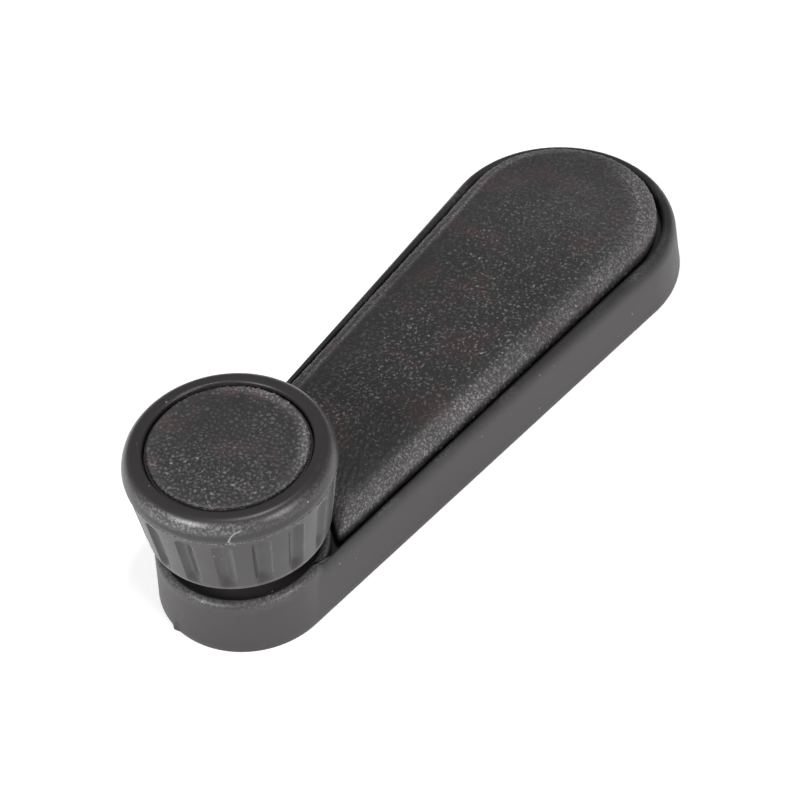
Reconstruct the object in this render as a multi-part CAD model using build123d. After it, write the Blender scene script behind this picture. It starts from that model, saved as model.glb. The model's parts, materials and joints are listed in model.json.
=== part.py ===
"""Window crank handle: a plastic arm on a serrated hub, with a free-turning fluted knob.

Frame, in millimetres: the origin is on the hub's axis, on the flat back that faces the door.
+Z points away from the door and +X runs along the arm to the knob.
"""
import os
from math import acos, atan2, cos, degrees, pi, sin

from build123d import *

# Driving dimensions
ARM_LENGTH = 88.0            # hub axis to knob axis
HUB_RADIUS = 21.5            # round end of the arm, at its back
BOSS_RADIUS = 14.3           # narrow end of the arm, under the knob
ARM_HEIGHT = 10.1            # back to the arm's rim
KNOB_RADIUS = 16.2
KNOB_BOTTOM = 15.5           # underside of the fluted skirt
KNOB_TOP = 31.9              # top of the knob's shoulder
INLAY_CROWN = 13.6           # highest point of the arm's inlay
SPINDLE_RADIUS = 4.75        # plain mouth of the hub's bore

# Arm housing
HUB_TOP_RADIUS = HUB_RADIUS - 1.25
BOSS_TOP_RADIUS = BOSS_RADIUS - 0.6
RIM_EDGE = 0.7               # rounding of the rim, small enough for its narrow end
DECK_TOP = 7.6               # floor of the recess that holds the inlay
DECK_BOTTOM = 6.2            # roof of the pocket that holds the steel core
RECESS_HUB_RADIUS = 18.0
RECESS_END_RADIUS = 12.85
COLLAR_TOP = 10.8
COLLAR_INNER_RADIUS = 12.3
BOSS_FLOOR = 8.0

# Steel core and back cover
CORE_THICKNESS = 3.0
CORE_BOTTOM = DECK_BOTTOM - CORE_THICKNESS
CORE_HUB_RADIUS = 11.5
CORE_END_RADIUS = 7.5
CORE_GAP = 0.3
COVER_THICKNESS = 1.6
COVER_HUB_RADIUS = HUB_RADIUS - 2.3
COVER_END_RADIUS = BOSS_RADIUS - 2.3
COVER_GAP = 0.15
POST_RADIUS = 2.4
POST_PLACES = [21.0, 47.0, 72.0]          # posts that the cover screws bite into
HUB_SCREW_PLACE = -15.6                   # the cover's fourth screw, past the hub
PAD_INNER_RADIUS = POST_RADIUS + 0.4
PAD_OUTER_RADIUS = POST_RADIUS + 1.8

# Cover screws, countersunk
SCREW_RADIUS = 1.2
SCREW_LENGTH = 5.0
SCREW_HEAD_RADIUS = 2.3
SCREW_SINK = 0.1                          # head below the back face
SCREW_HEAD_HEIGHT = 1.2
DRIVE_DEPTH = 0.6                         # cross recess, also in the hub screw
DRIVE_WIDTH_SHARE = 0.3                   # of the head's radius
DRIVE_LENGTH_SHARE = 1.2

# Hub insert, its screw and washer
INSERT_RADIUS = 9.0
INSERT_NOSE_RADIUS = 5.8
NOSE_CLEARANCE = 1.2
INSERT_TOP = 7.2
HEX_FLATS = 13.0
FIT_GAP = 0.1                             # slack between pieces that are keyed or slipped together
MOUTH_DEPTH = 2.0
SERRATION_ROOT = 4.55
SERRATION_TIP = 4.15
SERRATION_COUNT = 24
BORE_DEPTH = 6.0
HUB_SCREW_RADIUS = 2.5
HUB_SCREW_LENGTH = 5.9
HUB_SCREW_HEAD_RADIUS = 4.6
HUB_SCREW_HEAD_HEIGHT = 2.0
HUB_SCREW_CLEARANCE = 0.2
HEAD_ROUND_SHARE = 0.5                    # of the head's height
HUB_WASHER_RADIUS = 5.4
HUB_WASHER_THICKNESS = 1.0
HUB_WASHER_CLEARANCE = 0.3
HUB_WASHER_CONE_SHARE = 0.3               # of its thickness

# Arm inlay and its carrier
INLAY_GAP = 0.7                           # visible groove round the inlay
INLAY_BOTTOM = 9.0
INLAY_EDGE = 2.4
INLAY_CORNER = 1.0
CARRIER_INSET = 0.4                       # carrier's edge inside the inlay's edge
NOTCH_RADIUS = BOSS_RADIUS + 0.1          # boss wall that the recess stops at
HEAD_POCKET_RADIUS = 6.6
HEAD_POCKET_TOP = 10.7
PEG_RADIUS = 1.6
PEG_GAP = 0.3
PEG_LENGTH = 4.0
JOIN_OVERLAP = 0.5                        # how far a peg or leg runs into its plate
PEG_PLACES = [(0.0, 14.6), (0.0, -14.6), (34.0, 0.0), (60.0, 0.0)]

# Knob pin and the rings on it
PIN_RADIUS = 4.0
PIN_COLLAR_RADIUS = 6.5
PIN_COLLAR_TOP = 8.6
RIVET_RADIUS = 5.2
RIVET_BOTTOM = 1.8
RIVET_WASHER_RADIUS = 6.0
RIVET_WASHER_THICKNESS = 0.8
PIN_TOP = 25.2
PIN_CHAMFER = 0.5
RING_GROOVE_BOTTOM = 23.3
RING_GROOVE_RADIUS = 3.2
RING_THICKNESS = 0.8
RING_OUTER_RADIUS = 5.4
RING_GAP_ANGLE = 70.0
THRUST_THICKNESS = 0.8
THRUST_RADIUS = 7.8
WAVE_THICKNESS = 0.35
WAVE_HEIGHT = 0.2

# Knob
RUNNING_GAP = 0.05
BUSH_RADIUS = 5.5
BUSH_FLANGE_THICKNESS = 1.0
BUSH_TOP = 22.4
STEM_RADIUS = 7.8
SKIRT_RADIUS = 14.3
SKIRT_BEVEL = 0.6
PARTING_HEIGHT = 28.2
BELLY_HEIGHT = 27.4
RING_POCKET_RADIUS = 6.1
FLUTE_COUNT = 17
FLUTE_RADIUS = 2.1
FLUTE_DEPTH = 0.6
FLUTE_BOTTOM = 16.5
FLUTE_TOP = 27.0
FLUTE_PHASE = 12.9                        # angle of the first flute from +X
CORE_HOLE_COUNT = 8
CORE_HOLE_RADIUS = 1.4
CORE_HOLE_CIRCLE = 11.2
CORE_HOLE_BOTTOM = 18.0
SPIGOT_INNER_RADIUS = 13.2
SPIGOT_OUTER_RADIUS = 14.0
SPIGOT_DEPTH = 1.2
SPIGOT_GAP = 0.1
SHOULDER_RADIUS = 3.0
RIM_RECESS_RADIUS = 12.8
RIM_LEDGE_TOP = 29.8
RIM_LEDGE_RADIUS = 10.0
CAP_RADIUS = 12.5
CAP_THICKNESS = 1.2
LEG_COUNT = 4
LEG_RADIUS = 1.3
LEG_CIRCLE = 8.2
LEG_LENGTH = 4.2
DISC_RADIUS = 11.95
DISC_TOP = 32.3
DISC_EDGE = 0.5

KNOB_CENTRE = (ARM_LENGTH, 0.0)
OVERCUT = 1.0                             # how far a cutting solid runs past a face


def disc(radius, bottom, top, centre=(0.0, 0.0)):
    """A solid cylinder between two heights."""
    middle = (bottom + top) / 2
    return Pos(centre[0], centre[1], middle) * Cylinder(radius, top - bottom)


def ring(inner, outer, bottom, top, centre=(0.0, 0.0)):
    """A flat ring between two heights."""
    hole = disc(inner, bottom - OVERCUT, top + OVERCUT, centre)
    return disc(outer, bottom, top, centre) - hole


def arm_face(hub_radius, end_radius, height=0.0):
    """Two circles, one on the hub and one on the knob axis, joined by their tangents."""
    lean = acos((hub_radius - end_radius) / ARM_LENGTH)
    hub_point = (hub_radius * cos(lean), hub_radius * sin(lean))
    end_point = (ARM_LENGTH + end_radius * cos(lean), end_radius * sin(lean))
    hub_low = (hub_point[0], -hub_point[1])
    end_low = (end_point[0], -end_point[1])
    outline = Line(hub_point, end_point)
    outline += ThreePointArc(end_point, (ARM_LENGTH + end_radius, 0), end_low)
    outline += Line(end_low, hub_low)
    outline += ThreePointArc(hub_low, (-hub_radius, 0), hub_point)
    return Pos(0, 0, height) * make_face(outline)


def arm_plate(hub_radius, end_radius, bottom, top):
    """The arm's outline as a plate between two heights."""
    return extrude(arm_face(hub_radius, end_radius, bottom), top - bottom)


def turned(points, centre):
    """A solid of revolution about a vertical axis, from (radius, height) points."""
    profile = make_face(Polyline(*points, close=True))
    standing = Plane.XZ * profile
    return Pos(centre[0], centre[1], 0) * revolve(standing, Axis.Z)


def around(count, circle, first=0.0):
    """Places evenly spaced on a circle round the knob axis."""
    for index in range(count):
        angle = 2 * pi * index / count + first
        yield ARM_LENGTH + circle * cos(angle), circle * sin(angle)


def arm_housing():
    foot = arm_face(HUB_RADIUS, BOSS_RADIUS)
    rim = arm_face(HUB_TOP_RADIUS, BOSS_TOP_RADIUS, ARM_HEIGHT)
    shell = loft([foot, rim], ruled=True)
    shell = fillet(shell.faces().sort_by(Axis.Z)[-1].edges(), RIM_EDGE)
    shell += disc(BOSS_TOP_RADIUS, ARM_HEIGHT - 2 * RIM_EDGE, COLLAR_TOP, KNOB_CENTRE)
    recess = arm_plate(RECESS_HUB_RADIUS, RECESS_END_RADIUS, DECK_TOP, ARM_HEIGHT + OVERCUT)
    recess -= disc(NOTCH_RADIUS, DECK_TOP - OVERCUT, ARM_HEIGHT + 2 * OVERCUT, KNOB_CENTRE)
    shell -= recess.solids().sort_by(Axis.X)[0]
    shell -= disc(COLLAR_INNER_RADIUS, BOSS_FLOOR, COLLAR_TOP + OVERCUT, KNOB_CENTRE)
    shell -= arm_plate(COVER_HUB_RADIUS + COVER_GAP, COVER_END_RADIUS + COVER_GAP,
                       -OVERCUT, COVER_THICKNESS)
    pocket = arm_plate(CORE_HUB_RADIUS + CORE_GAP, CORE_END_RADIUS + CORE_GAP,
                       0, DECK_BOTTOM)
    for place in POST_PLACES:
        pocket -= disc(POST_RADIUS, COVER_THICKNESS, ARM_HEIGHT, (place, 0))
    shell -= pocket
    shell -= disc(INSERT_NOSE_RADIUS + NOSE_CLEARANCE, 0, ARM_HEIGHT)
    shell -= disc(PIN_COLLAR_RADIUS + CORE_GAP, 0, ARM_HEIGHT, KNOB_CENTRE)
    for place in PEG_PLACES:
        shell -= disc(PEG_RADIUS + PEG_GAP, DECK_TOP - PEG_LENGTH - PEG_GAP,
                      ARM_HEIGHT, place)
    for place in screw_places():
        shell -= disc(SCREW_RADIUS, 0, SCREW_SINK + SCREW_LENGTH, place)
    return shell


def screw_places():
    return [(HUB_SCREW_PLACE, 0.0)] + [(place, 0.0) for place in POST_PLACES]


def arm_core():
    plate = arm_plate(CORE_HUB_RADIUS, CORE_END_RADIUS, CORE_BOTTOM, DECK_BOTTOM)
    plate -= hexagon(HEX_FLATS + 2 * FIT_GAP, CORE_BOTTOM - OVERCUT, DECK_BOTTOM + OVERCUT)
    plate -= disc(PIN_RADIUS + RUNNING_GAP, 0, ARM_HEIGHT, KNOB_CENTRE)
    for place in POST_PLACES:
        plate -= disc(POST_RADIUS + FIT_GAP, 0, ARM_HEIGHT, (place, 0))
    for place in PEG_PLACES[2:]:
        plate -= disc(PEG_RADIUS + PEG_GAP, 0, ARM_HEIGHT, place)
    return plate


def hexagon(flats, bottom, top):
    """A six-sided bar, from its width across flats."""
    profile = RegularPolygon(flats / 2, 6, major_radius=False)
    return Pos(0, 0, bottom) * extrude(profile, top - bottom)


def back_cover():
    plate = arm_plate(COVER_HUB_RADIUS, COVER_END_RADIUS, 0, COVER_THICKNESS)
    plate -= disc(INSERT_RADIUS + CORE_GAP, -OVERCUT, COVER_THICKNESS + OVERCUT)
    for place in POST_PLACES:
        plate += ring(PAD_INNER_RADIUS, PAD_OUTER_RADIUS, COVER_THICKNESS, CORE_BOTTOM,
                      (place, 0))
    for place in screw_places():
        plate -= screw_sink(place)
    return plate


def screw_sink(place):
    """Clearance hole and countersink for one cover screw."""
    head_top = SCREW_SINK + SCREW_HEAD_HEIGHT
    cone = [(0, -OVERCUT), (SCREW_HEAD_RADIUS, -OVERCUT), (SCREW_HEAD_RADIUS, SCREW_SINK),
            (SCREW_RADIUS, head_top), (SCREW_RADIUS, COVER_THICKNESS + OVERCUT),
            (0, COVER_THICKNESS + OVERCUT)]
    return turned(cone, place)


def cover_screw(place):
    head_top = SCREW_SINK + SCREW_HEAD_HEIGHT
    tip = SCREW_SINK + SCREW_LENGTH
    profile = [(0, SCREW_SINK), (SCREW_HEAD_RADIUS, SCREW_SINK), (SCREW_RADIUS, head_top),
               (SCREW_RADIUS, tip - SCREW_RADIUS / 2), (SCREW_RADIUS / 2, tip), (0, tip)]
    return turned(profile, place) - cross_drive(SCREW_HEAD_RADIUS, SCREW_SINK, place)


def cross_drive(head_radius, face, place=(0.0, 0.0)):
    """A cross recess sunk into a screw head, centred on the height of its face."""
    width = head_radius * DRIVE_WIDTH_SHARE
    length = head_radius * DRIVE_LENGTH_SHARE
    depth = 2 * DRIVE_DEPTH
    cross = Box(length, width, depth) + Box(width, length, depth)
    return Pos(place[0], place[1], face) * cross


def back_cover_screws():
    return Compound(children=[cover_screw(place) for place in screw_places()])


def serrated_bore(bottom, top):
    """A bore with V-shaped serrations, from its root and tip radii."""
    points = []
    for index in range(2 * SERRATION_COUNT):
        angle = pi * index / SERRATION_COUNT
        radius = SERRATION_TIP if index % 2 else SERRATION_ROOT
        points.append((radius * cos(angle), radius * sin(angle)))
    profile = make_face(Polyline(*points, close=True))
    return Pos(0, 0, bottom) * extrude(profile, top - bottom)


def hub_insert():
    bush = disc(INSERT_RADIUS, 0, CORE_BOTTOM)
    bush += hexagon(HEX_FLATS, CORE_BOTTOM, DECK_BOTTOM)
    bush += disc(INSERT_NOSE_RADIUS, DECK_BOTTOM, INSERT_TOP)
    bush -= disc(SPINDLE_RADIUS, -OVERCUT, MOUTH_DEPTH)
    bush -= serrated_bore(MOUTH_DEPTH, BORE_DEPTH)
    bush -= disc(HUB_SCREW_RADIUS + HUB_SCREW_CLEARANCE, 0, ARM_HEIGHT)
    return bush


def hub_washer():
    """A coned spring washer under the hub screw."""
    inner = HUB_SCREW_RADIUS + HUB_WASHER_CLEARANCE
    cone = HUB_WASHER_THICKNESS * HUB_WASHER_CONE_SHARE
    top = INSERT_TOP + HUB_WASHER_THICKNESS
    profile = [(inner, INSERT_TOP + cone), (HUB_WASHER_RADIUS, INSERT_TOP),
               (HUB_WASHER_RADIUS, top - cone), (inner, top)]
    return turned(profile, (0, 0))


def hub_screw():
    seat = INSERT_TOP + HUB_WASHER_THICKNESS
    top = seat + HUB_SCREW_HEAD_HEIGHT
    screw = disc(HUB_SCREW_HEAD_RADIUS, seat, top)
    screw = fillet(screw.edges().sort_by(Axis.Z)[-1], HUB_SCREW_HEAD_HEIGHT * HEAD_ROUND_SHARE)
    screw += disc(HUB_SCREW_RADIUS, seat - HUB_SCREW_LENGTH, seat)
    return screw - cross_drive(HUB_SCREW_HEAD_RADIUS, top)


def inlay_plate(inset, bottom, top):
    """The inlay's outline, drawn in from the recess wall, with the notch for the boss."""
    plate = arm_plate(RECESS_HUB_RADIUS - inset, RECESS_END_RADIUS - inset, bottom, top)
    plate -= disc(NOTCH_RADIUS + inset, bottom - OVERCUT, top + OVERCUT, KNOB_CENTRE)
    return plate.solids().sort_by(Axis.X)[0]


def arm_inlay():
    plate = inlay_plate(INLAY_GAP, INLAY_BOTTOM, INLAY_CROWN)
    corners = plate.edges().filter_by(Axis.Z).sort_by(Axis.X)[-2:]
    plate = fillet(corners, INLAY_CORNER)
    plate = fillet(plate.faces().sort_by(Axis.Z)[-1].edges(), INLAY_EDGE)
    return plate - disc(HEAD_POCKET_RADIUS, 0, HEAD_POCKET_TOP)


def inlay_carrier():
    plate = inlay_plate(INLAY_GAP + CARRIER_INSET, DECK_TOP, INLAY_BOTTOM)
    plate -= disc(HEAD_POCKET_RADIUS, 0, INLAY_CROWN)
    for place in PEG_PLACES:
        peg = disc(PEG_RADIUS, DECK_TOP - PEG_LENGTH, DECK_TOP + JOIN_OVERLAP, place)
        plate += peg
    return plate


def knob_pin():
    rivet_top = CORE_BOTTOM - RIVET_WASHER_THICKNESS
    groove_top = RING_GROOVE_BOTTOM + RING_THICKNESS
    profile = [(0, RIVET_BOTTOM), (RIVET_RADIUS, RIVET_BOTTOM), (RIVET_RADIUS, rivet_top),
               (PIN_RADIUS, rivet_top), (PIN_RADIUS, DECK_BOTTOM),
               (PIN_COLLAR_RADIUS, DECK_BOTTOM), (PIN_COLLAR_RADIUS, PIN_COLLAR_TOP),
               (PIN_RADIUS, PIN_COLLAR_TOP), (PIN_RADIUS, RING_GROOVE_BOTTOM),
               (RING_GROOVE_RADIUS, RING_GROOVE_BOTTOM), (RING_GROOVE_RADIUS, groove_top),
               (PIN_RADIUS, groove_top), (PIN_RADIUS, PIN_TOP - PIN_CHAMFER),
               (PIN_RADIUS - PIN_CHAMFER, PIN_TOP), (0, PIN_TOP)]
    return turned(profile, KNOB_CENTRE)


def rivet_washer():
    bottom = CORE_BOTTOM - RIVET_WASHER_THICKNESS
    return ring(PIN_RADIUS, RIVET_WASHER_RADIUS, bottom, CORE_BOTTOM, KNOB_CENTRE)


def thrust_washer():
    top = PIN_COLLAR_TOP + THRUST_THICKNESS
    return ring(PIN_RADIUS + FIT_GAP, THRUST_RADIUS, PIN_COLLAR_TOP, top, KNOB_CENTRE)


def wave_washer():
    """A thin spring ring that takes up the knob's end play, raised on one half."""
    low = BUSH_TOP + RUNNING_GAP
    flat = ring(PIN_RADIUS + FIT_GAP, RING_OUTER_RADIUS, low, low + WAVE_THICKNESS, KNOB_CENTRE)
    lobe_top = low + WAVE_THICKNESS + WAVE_HEIGHT
    lobes = ring(PIN_RADIUS + FIT_GAP, RING_OUTER_RADIUS, low, lobe_top, KNOB_CENTRE)
    middle = Pos(ARM_LENGTH, 0, lobe_top) * Box(4 * RING_OUTER_RADIUS, PIN_RADIUS, 2 * OVERCUT)
    return flat + (lobes & middle)


def retaining_ring():
    """An open spring ring that sits in the pin's groove."""
    top = RING_GROOVE_BOTTOM + RING_THICKNESS
    body = ring(RING_GROOVE_RADIUS, RING_OUTER_RADIUS, RING_GROOVE_BOTTOM, top, KNOB_CENTRE)
    mouth = 2 * RING_GROOVE_RADIUS * sin(RING_GAP_ANGLE * pi / 360)
    reach = 2 * RING_OUTER_RADIUS
    slot = Pos(ARM_LENGTH - reach / 2, 0, top) * Box(reach, mouth, 4 * RING_THICKNESS)
    return body - slot


def knob_bush():
    flange_bottom = PIN_COLLAR_TOP + THRUST_THICKNESS
    flange_top = flange_bottom + BUSH_FLANGE_THICKNESS
    bush = disc(STEM_RADIUS, flange_bottom, flange_top, KNOB_CENTRE)
    bush += disc(BUSH_RADIUS, flange_bottom, BUSH_TOP, KNOB_CENTRE)
    return bush - disc(PIN_RADIUS + RUNNING_GAP, 0, KNOB_TOP, KNOB_CENTRE)


def flute(place_angle):
    """One groove, leaning with the skirt and rounded off at both ends."""
    lean = atan2(KNOB_RADIUS - SKIRT_RADIUS, BELLY_HEIGHT - KNOB_BOTTOM)
    middle_height = (FLUTE_BOTTOM + FLUTE_TOP) / 2
    rise = (middle_height - KNOB_BOTTOM) / (BELLY_HEIGHT - KNOB_BOTTOM)
    skirt_here = SKIRT_RADIUS + rise * (KNOB_RADIUS - SKIRT_RADIUS)
    out = skirt_here + FLUTE_RADIUS - FLUTE_DEPTH
    half = (FLUTE_TOP - FLUTE_BOTTOM) / 2 - FLUTE_RADIUS
    cutter = Cylinder(FLUTE_RADIUS, 2 * half)
    cutter += Pos(0, 0, half) * Sphere(FLUTE_RADIUS)
    cutter += Pos(0, 0, -half) * Sphere(FLUTE_RADIUS)
    leaning = Pos(out, 0, middle_height) * Rot(0, degrees(lean), 0) * cutter
    return Pos(ARM_LENGTH, 0, 0) * Rot(0, 0, place_angle) * leaning


def knob_body():
    flange_top = PIN_COLLAR_TOP + THRUST_THICKNESS + BUSH_FLANGE_THICKNESS
    profile = [(BUSH_RADIUS, flange_top), (STEM_RADIUS, flange_top), (STEM_RADIUS, KNOB_BOTTOM),
               (SKIRT_RADIUS - SKIRT_BEVEL, KNOB_BOTTOM),
               (SKIRT_RADIUS, KNOB_BOTTOM + SKIRT_BEVEL), (KNOB_RADIUS, BELLY_HEIGHT),
               (KNOB_RADIUS, PARTING_HEIGHT), (RING_POCKET_RADIUS, PARTING_HEIGHT),
               (RING_POCKET_RADIUS, BUSH_TOP), (BUSH_RADIUS, BUSH_TOP)]
    body = turned(profile, KNOB_CENTRE)
    for index in range(FLUTE_COUNT):
        body -= flute(FLUTE_PHASE + 360 * index / FLUTE_COUNT)
    body -= ring(SPIGOT_INNER_RADIUS - SPIGOT_GAP, SPIGOT_OUTER_RADIUS + SPIGOT_GAP,
                 PARTING_HEIGHT - SPIGOT_DEPTH - SPIGOT_GAP, PARTING_HEIGHT + OVERCUT,
                 KNOB_CENTRE)
    for place in around(CORE_HOLE_COUNT, CORE_HOLE_CIRCLE, pi / CORE_HOLE_COUNT):
        body -= disc(CORE_HOLE_RADIUS, CORE_HOLE_BOTTOM, KNOB_TOP, place)
    for place in around(LEG_COUNT, LEG_CIRCLE):
        leg_foot = RIM_LEDGE_TOP - LEG_LENGTH - SPIGOT_GAP
        body -= disc(LEG_RADIUS + SPIGOT_GAP, leg_foot, KNOB_TOP, place)
    return body


def knob_rim():
    """The rounded shoulder ring, with a ledge inside for the cap and a spigot below."""
    blank = disc(KNOB_RADIUS, PARTING_HEIGHT, KNOB_TOP, KNOB_CENTRE)
    blank = fillet(blank.edges().sort_by(Axis.Z)[-1], SHOULDER_RADIUS)
    blank -= disc(RIM_RECESS_RADIUS, RIM_LEDGE_TOP, KNOB_TOP + OVERCUT, KNOB_CENTRE)
    blank -= disc(RIM_LEDGE_RADIUS, 0, KNOB_TOP, KNOB_CENTRE)
    return blank + ring(SPIGOT_INNER_RADIUS, SPIGOT_OUTER_RADIUS,
                        PARTING_HEIGHT - SPIGOT_DEPTH, PARTING_HEIGHT, KNOB_CENTRE)


def knob_cap():
    cap = disc(CAP_RADIUS, RIM_LEDGE_TOP, RIM_LEDGE_TOP + CAP_THICKNESS, KNOB_CENTRE)
    for place in around(LEG_COUNT, LEG_CIRCLE):
        cap += disc(LEG_RADIUS, RIM_LEDGE_TOP - LEG_LENGTH, RIM_LEDGE_TOP + JOIN_OVERLAP, place)
    return cap


def knob_inlay():
    plate = disc(DISC_RADIUS, RIM_LEDGE_TOP + CAP_THICKNESS, DISC_TOP, KNOB_CENTRE)
    return fillet(plate.edges().sort_by(Axis.Z)[-1], DISC_EDGE)


NODES = {
    "arm_housing": arm_housing,
    "arm_core": arm_core,
    "back_cover": back_cover,
    "back_cover_screws": back_cover_screws,
    "hub_insert": hub_insert,
    "hub_washer": hub_washer,
    "hub_screw": hub_screw,
    "inlay_carrier": inlay_carrier,
    "arm_inlay": arm_inlay,
    "knob_pin": knob_pin,
    "rivet_washer": rivet_washer,
    "thrust_washer": thrust_washer,
    "wave_washer": wave_washer,
    "retaining_ring": retaining_ring,
    "knob_bush": knob_bush,
    "knob_body": knob_body,
    "knob_rim": knob_rim,
    "knob_cap": knob_cap,
    "knob_inlay": knob_inlay,
}

os.makedirs("parts", exist_ok=True)
for name, make in NODES.items():
    export_step(make(), f"parts/{name}.step")
    print(name)
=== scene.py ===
import json
import math

import bmesh
import bpy
import numpy as np
from mathutils import Matrix, Vector


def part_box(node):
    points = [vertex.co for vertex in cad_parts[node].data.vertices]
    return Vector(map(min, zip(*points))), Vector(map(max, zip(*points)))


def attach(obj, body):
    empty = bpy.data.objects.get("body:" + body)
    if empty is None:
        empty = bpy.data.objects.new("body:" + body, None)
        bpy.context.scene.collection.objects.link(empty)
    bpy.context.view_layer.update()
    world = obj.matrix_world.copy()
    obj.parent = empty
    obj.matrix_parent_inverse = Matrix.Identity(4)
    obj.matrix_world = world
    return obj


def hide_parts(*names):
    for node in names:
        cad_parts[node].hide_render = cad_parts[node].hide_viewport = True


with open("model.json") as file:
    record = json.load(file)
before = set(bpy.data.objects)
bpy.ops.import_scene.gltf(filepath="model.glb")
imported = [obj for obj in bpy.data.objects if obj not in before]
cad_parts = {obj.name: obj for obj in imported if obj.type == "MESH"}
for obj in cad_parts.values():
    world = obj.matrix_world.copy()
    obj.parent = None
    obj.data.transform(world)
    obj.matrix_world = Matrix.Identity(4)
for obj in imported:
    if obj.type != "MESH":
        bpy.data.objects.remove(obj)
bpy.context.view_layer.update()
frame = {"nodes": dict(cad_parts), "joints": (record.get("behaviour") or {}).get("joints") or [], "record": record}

# A window crank handle: tapered grained arm, fluted knob. Lengths are worked out in millimetres
# from the frame's boxes and turned into metres when a mesh is made.

mm = 0.001


def frameBox(node):    # a CAD node's lowest and highest corner, in millimetres
    low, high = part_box(node)
    return np.array(low) / mm, np.array(high) / mm


housingLow, housingHigh = frameBox("arm_housing")
skirtBottom = frameBox("knob_body")[0][2]     # underside of the knob's stem
rimLow, rimHigh = frameBox("knob_rim")
inlayLow, inlayHigh = frameBox("arm_inlay")
coverLow, coverHigh = frameBox("back_cover")
discLow, discHigh = frameBox("knob_inlay")
coreLow, coreHigh = frameBox("arm_core")
spin = next(joint for joint in frame["joints"] if joint["name"] == "knob_spin")

armLength = spin["pos_m"][0] / mm             # hub axis to knob axis
hubRadius = -housingLow[0]
bossRadius = housingHigh[0] - armLength
knobRadius = (rimHigh[1] - rimLow[1]) / 2


class Wire:
    # one output socket; sums and products of wires add Math nodes
    def __init__(self, board, socket):
        self.board = board
        self.socket = socket

    def __add__(self, other):
        return self.board.maths("ADD", self, other)

    def __radd__(self, other):
        return self.board.maths("ADD", other, self)

    def __sub__(self, other):
        return self.board.maths("SUBTRACT", self, other)

    def __rsub__(self, other):
        return self.board.maths("SUBTRACT", other, self)

    def __mul__(self, other):
        return self.board.maths("MULTIPLY", self, other)

    def __rmul__(self, other):
        return self.board.maths("MULTIPLY", other, self)

    def __pow__(self, other):
        return self.board.maths("POWER", self, other)


class Board:
    # a material's node tree with one Principled shader at its end
    def __init__(self, name, fixed):
        self.material = bpy.data.materials.new(name)
        self.material.use_nodes = True
        self.tree = self.material.node_tree
        self.tree.nodes.clear()
        self.shader = self.tree.nodes.new("ShaderNodeBsdfPrincipled")
        output = self.tree.nodes.new("ShaderNodeOutputMaterial")
        self.tree.links.new(self.shader.outputs["BSDF"], output.inputs["Surface"])
        for socket, value in fixed.items():
            self.shader.inputs[socket].default_value = value

    def make(self, kind, settings=None, inputs=None, output=0):
        node = self.tree.nodes.new(kind)
        for key, value in (settings or {}).items():
            setattr(node, key, value)
        for key, value in (inputs or {}).items():
            if isinstance(value, Wire):
                self.tree.links.new(value.socket, node.inputs[key])
            else:
                node.inputs[key].default_value = value
        return Wire(self, node.outputs[output])

    def maths(self, operation, first, second):
        return self.make("ShaderNodeMath", {"operation": operation}, {0: first, 1: second})

    def step(self, value, low, high):    # 0 below low, 1 above high, smooth between
        settings = {"interpolation_type": "SMOOTHSTEP"}
        return self.make("ShaderNodeMapRange", settings,
                         {"Value": value, "From Min": low, "From Max": high})

    def place(self):    # Object coordinates, in metres
        return self.make("ShaderNodeTexCoord", output="Object")

    def noise(self, scale, detail=2.0, roughness=0.5):    # scale in features per metre
        inputs = {"Vector": self.place(), "Scale": scale, "Detail": detail,
                  "Roughness": roughness}
        return self.make("ShaderNodeTexNoise", None, inputs)

    def cells(self, scale):    # distance to the nearest of scattered points
        inputs = {"Vector": self.place(), "Scale": scale}
        return self.make("ShaderNodeTexVoronoi", None, inputs, "Distance")

    def attribute(self, name):    # a number stored on the mesh's points
        return self.make("ShaderNodeAttribute", {"attribute_name": name}, output="Fac")

    def blend(self, amount, first, second):    # mixes two colours
        inputs = {0: amount, 6: first, 7: second}
        return self.make("ShaderNodeMix", {"data_type": "RGBA"}, inputs, 2)

    def dot(self, place, direction):    # how far a place lies along a direction
        inputs = {0: place, 1: direction}
        return self.make("ShaderNodeVectorMath", {"operation": "DOT_PRODUCT"}, inputs, "Value")

    def feed(self, socket, wire):
        self.tree.links.new(wire.socket, self.shader.inputs[socket])

    def bump(self, height, strength, distance, normal=None):
        inputs = {"Height": height, "Strength": strength, "Distance": distance}
        if normal:
            inputs["Normal"] = normal
        return self.make("ShaderNodeBump", None, inputs)


def grey(level, warmth=0.0):    # a near-neutral colour, a little redder for a positive warmth
    return (level * (1 + warmth), level, level * (1 + warmth / 3), 1.0)


def runningNoise(points, size, seed):
    # Value noise: random numbers on a cubic lattice of the given size, blended between its
    # corners with the smooth step 3t^2 - 2t^3. Gives -1 to 1 for each point.
    spot = points / size
    corner = np.floor(spot).astype(np.int64)
    part = spot - corner
    part = part * part * (3 - 2 * part)
    total = np.zeros(len(points))
    for dx in (0, 1):
        for dy in (0, 1):
            for dz in (0, 1):
                wx = part[:, 0] if dx else 1 - part[:, 0]
                wy = part[:, 1] if dy else 1 - part[:, 1]
                wz = part[:, 2] if dz else 1 - part[:, 2]
                total += wx * wy * wz * chance(corner + [dx, dy, dz], seed)
    return total * 2 - 1


def chance(lattice, seed):
    # A number from 0 to 1 for each whole-number lattice point, by mixing its three indices.
    mixed = lattice[:, 0] * 73856093 ^ lattice[:, 1] * 19349663 ^ lattice[:, 2] * 83492791
    mixed = (mixed ^ seed * 2654435761) & 0xFFFFFFFF
    mixed = (mixed ^ (mixed >> 15)) * 2246822519 & 0xFFFFFFFF
    mixed = (mixed ^ (mixed >> 13)) * 3266489917 & 0xFFFFFFFF
    return (mixed ^ (mixed >> 16)) / 4294967295.0


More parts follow.
